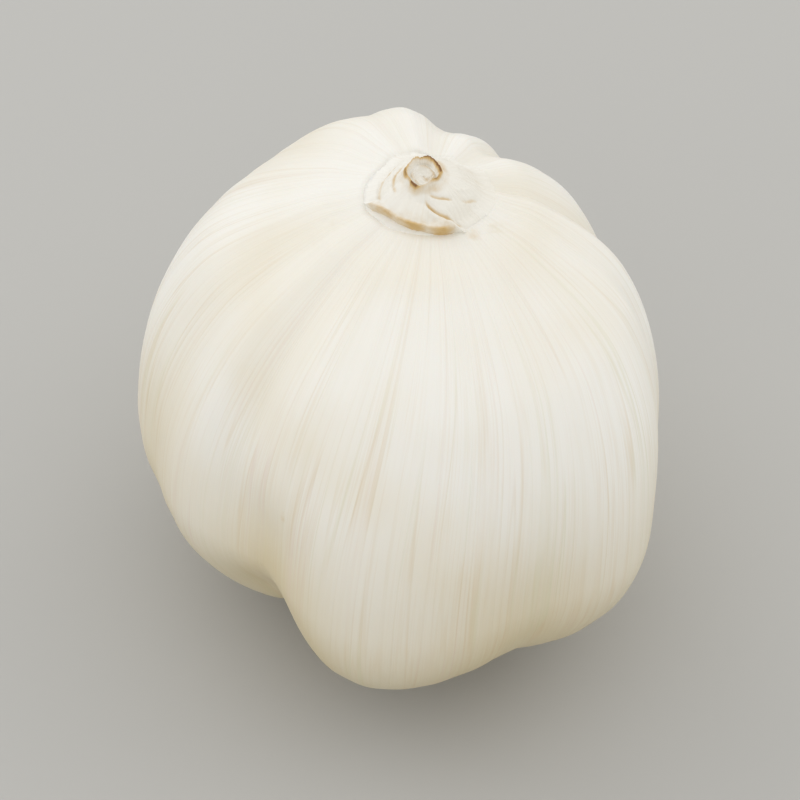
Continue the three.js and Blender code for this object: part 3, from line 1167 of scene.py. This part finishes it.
@dataclass
class NeckSheath:
    """The cut neck: white sheaths in a low knob with a torn edge in front, round the rim and its pith."""

    form: BulbForm
    finish: PaperFinish
    ground: bpy.types.Object
    wrinkles: Wrinkles = field(default_factory=Wrinkles)
    columns: int = 480
    rows: int = 110
    row_crowding: float = 0.9
    shift: tuple[float, float] = (0.15, -0.5)
    knob_height: float = 1.95
    plateau: float = 2.0
    # The edge: its radius at azimuths round the neck, how it is smoothed and how it is frayed.
    edge: tuple[tuple[float, float], ...] = (
        (15, 8.0),
        (60, 7.8),
        (110, 7.8),
        (160, 7.8),
        (194, 7.3),
        (212, 5.9),
        (233, 5.7),
        (247, 5.8),
        (265, 5.9),
        (281, 6.4),
        (296, 6.5),
        (312, 6.8),
        (335, 7.6),
    )
    edge_step: float = 2.0
    edge_softness: float = 8.0
    edge_window: int = 9
    torn_jag: float = 0.14
    whole_jag: float = 0.36
    fine_jag: float = 0.035
    # The stretch where the edge is torn and stands free of the skin.
    torn_from: float = 186.0
    torn_to: float = 303.0
    torn_fade: tuple[float, float] = (0.8, 1.15)
    torn_height: float = 1.2
    # How the sheath rises from the skin to the knob.
    buried: float = 0.08
    thickness: float = 0.06
    cover_width: float = 1.6
    rising: float = 0.55
    steepness: tuple[float, float] = (0.75, 0.25)
    # The relief of its surface.
    middle: tuple[float, float] = (0.5, 0.35)
    ripple_height: float = 0.04
    ripple_length: float = 9.0
    grain_height: float = 0.05
    wrinkle_height: float = 0.07
    wrinkle_turns: float = 0.8
    wrinkled_by: float = 0.3
    folds: tuple[Fold, ...] = (
        Fold(256, 308, 3.2, 6.1, -0.36, 0.3, 0.58),
        Fold(262, 306, 4.2, 6.9, 0.3, 0.4, 0.1),
        Fold(264, 314, 2.7, 3.7, -0.24, 0.22, 0.5),
        Fold(300, 338, 5.8, 6.1, 0.24, 0.4, 0.05),
        Fold(302, 336, 6.5, 6.8, -0.2, 0.28, 0.44),
        Fold(318, 346, 4.2, 5.4, -0.16, 0.24, 0.36),
        Fold(326, 352, 3.4, 4.6, 0.14, 0.3, 0.0),
        Fold(226, 262, 3.4, 3.6, -0.14, 0.3, 0.1),
        Fold(134, 210, 3.9, 4.2, -0.26, 0.26, 0.46),
        Fold(122, 206, 5.2, 5.8, -0.26, 0.3, 0.4),
        Fold(20, 84, 3.6, 4.6, -0.14, 0.3, 0.2),
        Fold(84, 150, 5.0, 5.9, -0.14, 0.26, 0.2),
        Fold(352, 40, 5.2, 6.1, -0.12, 0.26, 0.2),
    )
    fold_wander: float = 2.0
    # How dry and brown it is along the torn edge, and further in.
    edge_dryness: float = 0.24
    edge_band: tuple[float, float] = (0.44, 0.1)
    edge_patches: tuple[float, float] = (0.2, 2.0)
    edge_arcs: tuple[Arc, ...] = (Arc(203, 18, 0.24), Arc(246, 24, 0.34), Arc(281, 16, 0.42))
    stain: float = 0.58
    stain_width: float = 1.6
    warmth: float = 0.13
    warm_patches: float = 0.3
    warm_by: float = 0.5
    # The edge's thickness, and the hidden rim that turns in under it.
    lip: tuple[float, float] = (0.05, 0.22)
    under_share: float = 0.94
    under_drop: float = 0.4
    sunk_share: float = 0.8
    sunk_drop: float = 1.2
    hidden_dryness: tuple[float, float] = (0.6, 0.8)
    # What the finish reads on it.
    centre_dryness: float = 0.2
    flow_top: float = 0.95
    flow_length: float = 60.0
    # A warm tint of the knob in the shade colour, full inside the second radius and none outside the first;
    # here it paints no shade.
    painted_shade_and_knob_tint: float = 0.1
    shaded: tuple[float, float] = (8.0, 4.0)
    veined: float = 0.45

    def edge_radius(self, azimuth: Array) -> Array:
        """Works out how far the sheath reaches from the neck's axis.

        Args:
            azimuth: Degrees round the neck.

        Returns:
            The radius of its frayed edge, in millimetres.
        """
        turns, radii = zip(*self.edge)
        grid = np.arange(0, 360, self.edge_step)
        plain = np.interp(grid, turns, radii, period=360)
        offsets = np.arange(-self.edge_window, self.edge_window + 1)
        kernel = bell(offsets * self.edge_step / self.edge_softness)
        count = len(grid)
        smooth = np.convolve(np.tile(plain, 3), kernel / kernel.sum(), "same")[count : 2 * count]
        jag = mix(self.whole_jag, self.torn_jag, self.torn(azimuth))
        frayed = jag * self.wrinkles.slow(azimuth) + self.fine_jag * self.wrinkles.fine(azimuth)
        return np.interp(azimuth % 360, grid, smooth, period=360) + frayed

    def torn(self, azimuth: Array) -> Array:
        """Works out how far the edge stands free.

        Args:
            azimuth: Degrees round the neck.

        Returns:
            Shares from 0, where it lies on the skin, to 1.
        """
        middle = (self.torn_from + self.torn_to) / 2
        half = (self.torn_to - self.torn_from) / 2
        return 1 - ramp(np.abs(turned(azimuth, middle)) / half, *self.torn_fade)

    def knob(
        self, azimuth: Array, radius: Array, reach: Array, edge_height: Array, ground: Array
    ) -> tuple[Array, Array]:
        """Works out the knob without its folds and its rim.

        Args:
            azimuth: Degrees round the neck.
            radius: Millimetres from the neck's axis.
            reach: The sheath's own reach at each azimuth.
            edge_height: The height of the skin below the sheath's edge.
            ground: The height of the skin below each point.

        Returns:
            The height in millimetres, and how far up the knob each point lies, from 0 to 1.
        """
        free = self.torn(azimuth)
        climb = np.clip((reach - radius) / (reach - self.plateau), 0, 1)
        top = self.form.collar_height + self.knob_height
        dome = mix(climb, ramp(climb, 0, 1), mix(*self.steepness, free))
        dome = mix(edge_height + self.torn_height * free, top, dome)
        cover = mix(-self.buried, self.thickness, ramp(reach - radius, 0, self.cover_width))
        resting = ground + cover
        risen = np.maximum(free, ramp(climb, 0, self.rising))
        height = np.maximum(mix(resting, dome, risen), resting)
        centre, spread = self.middle
        within = bell((climb - centre) / spread)
        slow = self.wrinkles.slow(azimuth, radius / self.ripple_length)
        creased = self.wrinkles.creased(azimuth, self.wrinkle_turns * radius)
        height = height + self.ripple_height * slow * within
        height = height + self.grain_height * (1 - free) * self.wrinkles.fine(azimuth) * within
        height = height + self.wrinkle_height * creased * ramp(climb, 0, self.wrinkled_by)
        return height, climb

    def dry_edge(self, azimuth: Array, inwards: Array) -> Array:
        """Works out the tan band along the torn edge.

        Args:
            azimuth: Degrees round the neck.
            inwards: Millimetres in from the edge.

        Returns:
            The dryness.
        """
        driest = np.clip(self.edge_dryness + sum(arc.at(azimuth) for arc in self.edge_arcs), 0, 1)
        driest = driest * self.torn(azimuth)
        width, play = self.edge_band
        share, turns = self.edge_patches
        band = bell(inwards / (width + play * self.wrinkles.slow(azimuth)))
        band = band * (1 + share * self.wrinkles.slow(azimuth, turns))
        return driest * np.maximum(band, self.stain * bell(inwards / self.stain_width))

    def surface(
        self, azimuth: Array, radius: Array, reach: Array, edge_height: Array, ground: Array
    ) -> tuple[Array, Array]:
        """Works out the whole neck over one ring of points.

        Args:
            azimuth: Degrees round the neck.
            radius: Millimetres from the neck's axis.
            reach: The sheath's own reach at each azimuth.
            edge_height: The height of the skin below the sheath's edge.
            ground: The height of the skin below each point.

        Returns:
            The height in millimetres and the dryness from 0 to 1.
        """
        height, climb = self.knob(azimuth, radius, reach, edge_height, ground)
        dryness = self.dry_edge(azimuth, reach - radius)
        wandering = azimuth + self.fold_wander * self.wrinkles.slow(azimuth)
        for fold in self.folds:
            near = fold.at(wandering, radius)
            height = height + fold.height * near
            dryness = np.maximum(dryness, fold.dryness * near)
        rim_height, rim_dryness = NeckRing(self.wrinkles).relief(azimuth, radius)
        patches = 1 + self.warm_patches * self.wrinkles.creased(azimuth, radius)
        warm = self.warmth * patches * ramp(climb, 0, self.warm_by)
        return height + rim_height, np.maximum.reduce((dryness, rim_dryness, warm))

    def build(self) -> bpy.types.Object:
        """Builds the neck.

        Returns:
            The finished piece.
        """
        foot = self.form.lean_at(np.array(self.form.collar_height))
        centre = foot + np.array(self.shift)
        azimuth = np.arange(self.columns) * 360 / self.columns
        turn = np.radians(azimuth)
        outward = np.stack([np.cos(turn), np.sin(turn)], -1)
        reach = self.edge_radius(azimuth)
        tree = BVHTree.FromObject(self.ground, bpy.context.evaluated_depsgraph_get())
        edge_height = self.ground_height(tree, centre + reach[:, None] * outward)
        rings, dry = [], []
        for share in (1 - np.linspace(0, 1, self.rows) ** self.row_crowding)[:-1]:
            radius = reach * share
            flat = centre + radius[:, None] * outward
            ground = self.ground_height(tree, flat)
            height, dryness = self.surface(azimuth, radius, reach, edge_height, ground)
            rings.append(np.column_stack([flat, height]))
            dry.append(dryness)

        free = self.torn(azimuth)
        lip, under, sunk = (rings[0].copy() for _ in range(3))
        lip[:, 2] -= mix(*self.lip, free)
        under[:, :2] = mix(centre, under[:, :2], self.under_share)
        under[:, 2] -= (self.torn_height + self.under_drop) * free
        sunk[:, :2] = mix(centre, sunk[:, :2], self.sunk_share)
        sunk[:, 2] = under[:, 2] - self.sunk_drop
        rings = [sunk, under, lip, *rings]
        dry = [*(dry[0] * share for share in self.hidden_dryness), dry[0], *dry]

        bottom = [*centre, sunk[:, 2].mean()]
        corners = np.concatenate([*rings, [bottom], [rings[-1].mean(0)]])
        piece = new_piece("neck_sheath", corners, closed_faces(len(rings), self.columns))
        around = np.append(np.tile(turn, len(rings)), [0, 0])
        spread = np.hypot(*(corners[:, :2] - centre).T)
        upward = self.flow_top - spread / self.flow_length
        store(piece, "flow", np.stack([np.cos(around), np.sin(around), upward], -1))
        store(piece, "dryness", np.append(np.concatenate(dry), [self.centre_dryness] * 2))
        store(piece, "depth", self.painted_shade_and_knob_tint * ramp(spread, *self.shaded))
        store(piece, "veined", np.full(len(corners), self.veined))
        piece.data.materials.append(self.finish.material())
        settle(piece, Slot.NECK, Node.NECK)
        return piece

    @staticmethod
    def ground_height(tree: BVHTree, flat: Array) -> Array:
        """Finds the height of the skin below points of the plan.

        Args:
            tree: The skin, ready for rays.
            flat: The points, in millimetres.

        Returns:
            The heights, in millimetres.
        """
        above, down = 0.2, Vector((0, 0, -1))
        hits = [tree.ray_cast(Vector((x, y, above)), down)[0] for x, y in flat * MM]
        return np.array([hit.z / MM for hit in hits])


@dataclass(frozen=True)
class RootRing:
    """One ring of trimmed roots."""

    count: int
    start: float
    end: float
    radius: float


@dataclass
class RootPlate:
    """The corky plate under the bulb, with its trimmed roots."""

    cork: CorkFinish
    roots: CorkFinish
    face: float = 5.6
    face_height: float = 0.02
    bevel: tuple[float, float] = (0.3, 0.35)
    shoulder: float = 6.4
    shoulder_height: float = 1.4
    top: float = 2.9
    top_bevel: float = 0.5
    columns: int = 160
    profile_steps: int = 5
    # The scar in the face: its depth in the middle, and the radii and heights round that.
    scar_depth: float = 0.3
    scar: tuple[tuple[float, float], ...] = (
        (0.8, 0.28),
        (1.6, 0.22),
        (2.2, 0.05),
        (2.9, 0.0),
        (3.5, 0.12),
        (4.1, 0.03),
        (4.9, 0.0),
    )
    roughness: float = 0.06
    grain_length: float = 3.0
    rough_outside: float = 4.6
    rough_below: float = 0.6
    # Each root: where it leaves the plate, how far the roots differ, and its mesh.
    start_height: float = 2.2
    place_play: tuple[float, float] = (-0.25, 0.25)
    length_play: tuple[float, float] = (-0.25, 0.2)
    width_play: tuple[float, float] = (0.75, 1.15)
    taper: float = 0.8
    sides: int = 14
    lengths: int = 5
    end_rings: int = 2
    bark_scale: float = 2500.0
    bark_height: float = 0.25
    cut_height: tuple[float, float] = (0.1, 0.4)
    first_seed: float = 3.0
    rings: tuple[RootRing, ...] = (
        RootRing(20, 4.9, 6.6, 0.5),
        RootRing(25, 5.6, 7.9, 0.46),
        RootRing(34, 6.0, 8.3, 0.34),
    )
    grain: Ripple = field(default_factory=lambda: Ripple(21, 10, 5, 30))

    def build_plate(self) -> bpy.types.Object:
        """Builds the plate, with a shallow scar ring in its flat face.

        Returns:
            The finished piece.
        """
        profile = np.array(
            [
                *self.scar,
                (self.face, self.face_height),
                (self.face + self.bevel[0], self.bevel[1]),
                (self.shoulder, self.shoulder_height),
                (self.shoulder, self.top - self.top_bevel),
                (self.shoulder - self.top_bevel, self.top),
            ]
        )
        fine = np.linspace(0, len(profile) - 1, self.profile_steps * len(profile))
        steps = np.arange(len(profile))
        radii, heights = (np.interp(fine, steps, column) for column in profile.T)
        azimuth = np.arange(self.columns) * 360 / self.columns
        turn = np.radians(azimuth)
        rings = []
        for radius, height in zip(radii, heights):
            rough = self.roughness * self.grain(azimuth, radius / self.grain_length)
            out = radius + rough * (radius > self.rough_outside)
            up = height + np.abs(rough) * (height < self.rough_below)
            rings.append(np.column_stack([out * np.cos(turn), out * np.sin(turn), up]))
        corners = np.concatenate([*rings, [[0, 0, self.scar_depth]], [[0, 0, self.top]]])
        piece = new_piece("root_cork", corners, closed_faces(len(rings), self.columns))
        piece.data.materials.append(self.cork.material())
        settle(piece, Slot.ROOT, Node.ROOT_PLATE)
        return piece

    def stub_tree(self) -> NodeTree:
        """Builds the tree that sets one ring of roots round the plate.

        Returns:
            A tree that needs no geometry of its own.
        """
        names = ("Count", "Start Radius", "End Radius", "Top", "Thickness", "Seed")
        tree, given = new_tree("RootStubs", dict.fromkeys(names, 0.0))
        count = tree.add("FunctionNodeFloatToInt", {0: given["Count"]}).outputs[0]
        line = tree.add("GeometryNodeMeshLine", {"Count": count}).outputs[0]
        number = tree.add("GeometryNodeInputIndex").outputs[0]
        seed = tree.add("FunctionNodeFloatToInt", {0: given["Seed"]}).outputs[0]

        def drawn(low: float, high: float, step: int) -> bpy.types.NodeSocket:
            """Adds a seeded draw for each root."""
            inputs = {2: low, 3: high, "Seed": tree.math("ADD", seed, float(step))}
            return tree.add("FunctionNodeRandomValue", inputs, data_type="FLOAT").outputs[1]

        shifted = tree.math("ADD", number, drawn(*self.place_play, 1))
        place = tree.math("DIVIDE", shifted, given["Count"])
        angle = tree.math("ADD", tree.math("MULTIPLY", place, 2 * math.pi), given["Seed"])
        cosine, sine = tree.math("COSINE", angle), tree.math("SINE", angle)

        def spot(radius: bpy.types.NodeSocket, height: object) -> bpy.types.NodeSocket:
            """Adds a point on the root's own azimuth.

            Args:
                radius: The socket with its millimetres from the plate's axis.
                height: Its height in millimetres, a number or a socket.

            Returns:
                The point's socket, in metres.
            """
            across, along = (tree.math("MULTIPLY", part, radius) for part in (cosine, sine))
            point = tree.add("ShaderNodeCombineXYZ", {0: across, 1: along, 2: height})
            return tree.scaled(point.outputs[0], MM)

        low = spot(tree.math("ADD", given["End Radius"], drawn(*self.length_play, 2)), 0.0)
        run = tree.vector("SUBTRACT", spot(given["Start Radius"], given["Top"]), low)
        length = tree.add("ShaderNodeVectorMath", {0: run}, operation="LENGTH").outputs["Value"]
        placed = tree.add("GeometryNodeSetPosition", {"Geometry": line, "Position": low}).outputs[0]
        shape = {"Vertices": self.sides, "Side Segments": self.lengths, "Fill Segments": self.end_rings}
        shape |= {"Radius Top": self.taper, "Radius Bottom": 1.0, "Depth": 1.0}
        stub = tree.add("GeometryNodeMeshCone", shape).outputs[0]
        aim = tree.add("FunctionNodeAlignRotationToVector", {"Vector": run}, axis="Z").outputs[0]
        thickness = tree.math("MULTIPLY", given["Thickness"], drawn(*self.width_play, 3))
        width = tree.math("MULTIPLY", thickness, MM)
        scale = tree.add("ShaderNodeCombineXYZ", {0: width, 1: width, 2: length}).outputs[0]
        inputs = {"Points": placed, "Instance": stub, "Rotation": aim, "Scale": scale}
        stubs = tree.add("GeometryNodeInstanceOnPoints", inputs).outputs[0]
        real = tree.add("GeometryNodeRealizeInstances", {"Geometry": stubs}).outputs[0]

        position = tree.add("GeometryNodeInputPosition").outputs[0]
        x, y, z = tree.add("ShaderNodeSeparateXYZ", {0: position}).outputs
        flush = tree.math("MAXIMUM", z, 0.0)
        flat = tree.add("ShaderNodeCombineXYZ", {0: x, 1: y, 2: flush}).outputs[0]
        noise = tree.math("SUBTRACT", tree.noise(position, self.bark_scale, 2.0), 0.5)
        bark = tree.math("MULTIPLY", noise, self.bark_height * MM)
        above_cut = tree.window(z, *(height * MM for height in self.cut_height))
        bark = tree.math("MULTIPLY", bark, above_cut)
        offset = tree.scaled(tree.add("GeometryNodeInputNormal").outputs[0], bark)
        inputs = {"Geometry": real, "Position": flat, "Offset": offset}
        shaped = tree.add("GeometryNodeSetPosition", inputs).outputs[0]
        close_tree(tree, shaped, given["Material"])
        return tree

    def build_roots(self) -> None:
        """Builds each ring of roots."""
        tree = self.stub_tree()
        material = self.roots.material()
        for number, ring in enumerate(self.rings, 1):
            piece = new_piece(f"root_ring_{number}", np.zeros((1, 3)), [])
            values = {
                "Count": float(ring.count),
                "Start Radius": ring.start,
                "End Radius": ring.end,
                "Top": self.start_height,
                "Thickness": ring.radius,
                "Seed": self.first_seed + number,
                "Material": material,
            }
            run_tree(piece, tree, values)
            settle(piece, Slot.ROOT)


@dataclass(frozen=True)
class Softbox:
    """A square soft light that faces the bulb, with sizes in metres."""

    name: str
    place: tuple[float, float, float]
    side: float
    watts: float
    colour: Colour = WHITE

    def build(self, target: Vector) -> None:
        """Sets the light up.

        Args:
            target: The point that it faces, in metres.
        """
        light = bpy.data.lights.new(self.name, "AREA")
        light.size = self.side
        light.energy = self.watts
        light.color = self.colour
        lamp = bpy.data.objects.new(self.name, light)
        bpy.context.scene.collection.objects.link(lamp)
        lamp.location = self.place
        lamp.rotation_euler = (target - lamp.location).to_track_quat("-Z", "Y").to_euler()


@dataclass
class Studio:
    """The pale floor, the soft lights and the camera, with sizes in metres."""

    elevation: float = 45.0
    distance: float = 0.6
    view_width: float = 0.0903
    aim: tuple[float, float, float] = (0.0, 0.0, 0.027)
    floor_side: float = 6.0
    floor_colour: Colour = linear(182, 181, 177)
    floor_roughness: float = 0.8
    sky_colour: Colour = WHITE
    sky_strength: float = 0.92
    lights: tuple[Softbox, ...] = (
        Softbox("key", (-0.55, 0.42, 0.45), side=0.8, watts=1.5),
        Softbox("low_fill", (-0.35, -0.7, 0.25), side=0.8, watts=0.6, colour=WARM_WHITE),
        Softbox("side_fill", (0.65, 0.2, 0.4), side=0.8, watts=1.0, colour=WARM_WHITE),
    )

    def build(self) -> None:
        """Builds the studio."""
        scene = bpy.context.scene
        scene.view_settings.view_transform = "Standard"
        self.build_floor()
        target = Vector(self.aim)
        for light in self.lights:
            light.build(target)
        world = bpy.data.worlds.new("studio")
        world.use_nodes = True
        background = world.node_tree.nodes["Background"]
        background.inputs["Color"].default_value = (*self.sky_colour, 1.0)
        background.inputs["Strength"].default_value = self.sky_strength
        scene.world = world

        data = bpy.data.cameras.new("camera")
        data.lens = data.sensor_width * self.distance / self.view_width
        camera = bpy.data.objects.new("camera", data)
        scene.collection.objects.link(camera)
        angle = math.radians(self.elevation)
        back = Vector((0, -math.cos(angle), math.sin(angle)))
        camera.location = target + back * self.distance
        camera.rotation_euler = (-back).to_track_quat("-Z", "Y").to_euler()
        scene.camera = camera

    def build_floor(self) -> None:
        """Builds the plain floor."""
        half = self.floor_side / 2 / MM
        signs = ((-1, -1), (1, -1), (1, 1), (-1, 1))
        corners = np.array([(x * half, y * half, 0) for x, y in signs])
        floor = new_piece("floor", corners, [(0, 1, 2, 3)])
        material = bpy.data.materials.new("pale_floor")
        material.use_nodes = True
        shader = material.node_tree.nodes["Principled BSDF"]
        shader.inputs["Base Color"].default_value = (*self.floor_colour, 1.0)
        shader.inputs["Roughness"].default_value = self.floor_roughness
        floor.data.materials.append(material)


def write_sizes() -> None:
    """Brings the scene up to date; it writes no box."""
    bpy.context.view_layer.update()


def main() -> None:
    """Builds the bulb and its studio."""
    logging.basicConfig(level=logging.INFO, format="%(name)s: %(message)s")
    form = BulbForm()
    skin = Skin(form, PaperFinish("papery_skin")).build()
    NeckSheath(form, PaperFinish("dry_neck", translucence=0.0), skin).build()
    plate = RootPlate(CorkFinish("cork"), CorkFinish("root_ends", pale=linear(226, 208, 170)))
    plate.build_plate()
    plate.build_roots()
    Studio().build()
    write_sizes()


if __name__ == "__main__":
    main()
